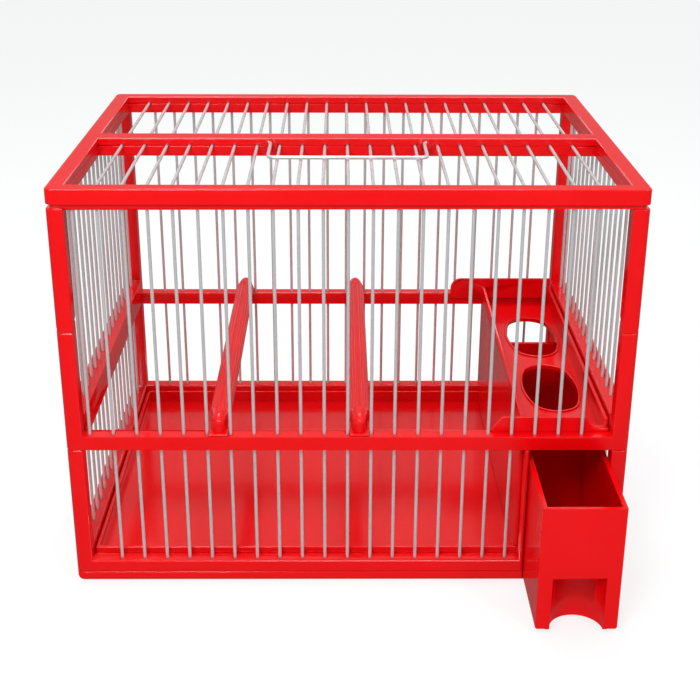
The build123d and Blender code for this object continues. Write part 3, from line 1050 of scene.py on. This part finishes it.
def rounded_path(corners, height):
    """A flat path through corners, each rounded by its own radius; the ends stay sharp."""
    places = [Vector((x, y, height)) for x, y, _ in corners]
    path = [places[0]]
    for index in range(1, len(corners) - 1):
        corner = places[index]
        radius = corners[index][2]
        before = (places[index - 1] - corner).normalized()
        after = (places[index + 1] - corner).normalized()
        half_angle = before.angle(after) / 2
        reach = radius / math.tan(half_angle)
        centre = corner + (before + after).normalized() * (radius / math.sin(half_angle))
        start = corner + before * reach - centre
        end = corner + after * reach - centre
        for step in range(BEND_STEPS + 1):
            path.append(centre + start.slerp(end, step / BEND_STEPS).normalized() * radius)
    path.append(places[-1])
    return path


def bent_wire(name, points, radius):
    """A plain object: one round wire along a path of points."""
    curve = bpy.data.curves.new("wire_line", "CURVE")
    curve.dimensions = "3D"
    curve.bevel_depth = radius
    curve.bevel_resolution = HANDLE_RINGS
    curve.use_fill_caps = True
    spline = curve.splines.new("POLY")
    spline.points.add(len(points) - 1)
    for point, place in zip(spline.points, points):
        point.co = (*place, 1.0)
    line = bpy.data.objects.new("wire_line", curve)
    bpy.context.scene.collection.objects.link(line)
    bpy.context.view_layer.update()
    mesh = evaluated_mesh(line)
    bpy.data.objects.remove(line)
    return link_mesh(name, mesh)


class CAGE_OT_handle(bpy.types.Operator):
    """Bend the carry handle out of one length of wire"""

    bl_idname = "cage.handle"
    bl_label = "Carry handle"

    def execute(self, context):
        settings = context.scene.cage_wire
        radius = settings.handle_diameter / 2
        low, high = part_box("carry_handle")
        pivot = Vector(frame_joint("handle_hinge")["pos_m"])
        half = high.x - HANDLE_PIN
        front = low.y + radius
        corners = [
            (-high.x, pivot.y, 0.0),
            (-half, pivot.y, PIVOT_BEND),
            (-half, front, settings.handle_bend),
            (half, front, settings.handle_bend),
            (half, pivot.y, PIVOT_BEND),
            (high.x, pivot.y, 0.0),
        ]
        handle = bent_wire("carry_handle_wire", rounded_path(corners, pivot.z), radius)
        smooth_by_angle(handle, ROUND_ANGLE)
        steel = drawn_steel("handle_steel", tuple(settings.colour), 0, HANDLE_ROUGHNESS)
        dress(handle, "handle", steel, ["carry_handle"])
        return {"FINISHED"}


def lay_floor(settings):
    """A wide pale floor that glossy surfaces mirror darker than the camera sees it."""
    mesh = bpy.data.meshes.new("studio_floor")
    reach = FLOOR_REACH
    corners = [(-reach, -reach, 0), (reach, -reach, 0), (reach, reach, 0), (-reach, reach, 0)]
    mesh.from_pydata(corners, [], [(0, 1, 2, 3)])
    floor = link_mesh("studio_floor", mesh)
    paper = Shader("white_paper")
    paper.finish(
        Base_Color=FLOOR_COLOUR,
        Roughness=0.9,
        Specular_IOR_Level=0.0,
        Emission_Color=(1.0, 1.0, 1.0, 1.0),
        Emission_Strength=FLOOR_GLOW,
    )
    dim = paper.tree.nodes.new("ShaderNodeEmission")
    dim.inputs["Strength"].default_value = settings.reflected_floor
    choice = paper.tree.nodes.new("ShaderNodeMixShader")
    rays = paper.tree.nodes.new("ShaderNodeLightPath")
    link = paper.tree.links.new
    link(rays.outputs["Is Glossy Ray"], choice.inputs["Fac"])
    link(paper.surface.outputs["BSDF"], choice.inputs[1])
    link(dim.outputs["Emission"], choice.inputs[2])
    link(choice.outputs["Shader"], paper.tree.nodes["Material Output"].inputs["Surface"])
    mesh.materials.append(paper.material)


def studio_sky(settings):
    """A pale world with one darker band low above the floor, which the glossy faces mirror."""
    world = bpy.data.worlds.new("studio_white")
    world.use_nodes = True
    tree = world.node_tree
    sky = tree.nodes["Background"]
    sky.inputs["Strength"].default_value = settings.sky
    where = tree.nodes.new("ShaderNodeTexCoord")
    parts = tree.nodes.new("ShaderNodeSeparateXYZ")
    ramp = tree.nodes.new("ShaderNodeValToRGB")
    stops = ramp.color_ramp.elements
    while len(stops) < len(SKY_STOPS):
        stops.new(0.5)
    for stop, (height, grey) in zip(stops, SKY_STOPS):
        stop.position = height
        stop.color = (grey, grey, grey, 1.0)
    tree.links.new(where.outputs["Generated"], parts.inputs[0])
    tree.links.new(parts.outputs["Z"], ramp.inputs["Fac"])
    tree.links.new(ramp.outputs["Color"], sky.inputs["Color"])
    return world


def hang_light(name, place, size, power):
    """A square lamp that is aimed at the cage and isn't seen itself."""
    data = bpy.data.lights.new(name, "AREA")
    data.size = size
    data.energy = power
    lamp = bpy.data.objects.new(name, data)
    lamp.location = place
    lamp.visible_camera = False
    lamp.rotation_euler = (Vector(LIGHT_AIM) - Vector(place)).to_track_quat("-Z", "Y").to_euler()
    bpy.context.scene.collection.objects.link(lamp)


def set_camera(settings):
    """The camera at the photograph's angle."""
    data = bpy.data.cameras.new("studio_camera")
    data.sensor_width = 36.0
    data.angle = settings.field_of_view
    data.clip_start = 0.01
    camera = bpy.data.objects.new("studio_camera", data)
    turn = (
        Matrix.Rotation(settings.yaw, 4, "Z")
        @ Matrix.Rotation(math.pi / 2 - settings.pitch, 4, "X")
        @ Matrix.Rotation(settings.roll, 4, "Z")
    )
    camera.matrix_world = Matrix.Translation(settings.camera_place) @ turn
    bpy.context.scene.collection.objects.link(camera)
    bpy.context.scene.camera = camera


class CAGE_OT_stage(bpy.types.Operator):
    """Set the floor, the soft studio light and the camera"""

    bl_idname = "cage.stage"
    bl_label = "Stage"

    def execute(self, context):
        settings = context.scene.cage_stage
        context.scene.view_settings.view_transform = "Standard"
        lay_floor(settings)
        context.scene.world = studio_sky(settings)
        for light in LIGHTS:
            hang_light(*light)
        set_camera(settings)
        return {"FINISHED"}


class CAGE_PT_sidebar(bpy.types.Panel):
    """Lists the steps that dress the cage"""

    bl_idname = "CAGE_PT_sidebar"
    bl_label = "Bird cage"
    bl_space_type = "VIEW_3D"
    bl_region_type = "UI"
    bl_category = "Bird cage"

    def draw(self, context):
        scene = context.scene
        for step in STEPS:
            self.layout.operator(step.bl_idname)
        for group in (scene.cage_plastic, scene.cage_wire, scene.cage_perch, scene.cage_stage):
            for name in group.__annotations__:
                self.layout.prop(group, name)


STEPS = (
    CAGE_OT_frames,
    CAGE_OT_tray,
    CAGE_OT_feeder,
    CAGE_OT_perches,
    CAGE_OT_wires,
    CAGE_OT_handle,
    CAGE_OT_stage,
)
GROUPS = {
    "cage_plastic": PlasticSettings,
    "cage_wire": WireSettings,
    "cage_perch": PerchSettings,
    "cage_stage": StageSettings,
}


def register():
    """Register the settings, the steps and the sidebar."""
    for name, group in GROUPS.items():
        bpy.utils.register_class(group)
        setattr(bpy.types.Scene, name, bpy.props.PointerProperty(type=group))
    for step in STEPS:
        bpy.utils.register_class(step)
    bpy.utils.register_class(CAGE_PT_sidebar)


def unregister():
    """Take everything that register added away again."""
    bpy.utils.unregister_class(CAGE_PT_sidebar)
    for step in reversed(STEPS):
        bpy.utils.unregister_class(step)
    for name, group in GROUPS.items():
        delattr(bpy.types.Scene, name)
        bpy.utils.unregister_class(group)


def main():
    """Dress the whole cage."""
    register()
    for step in STEPS:
        area, call = step.bl_idname.split(".")
        getattr(getattr(bpy.ops, area), call)()


if __name__ == "__main__":
    main()
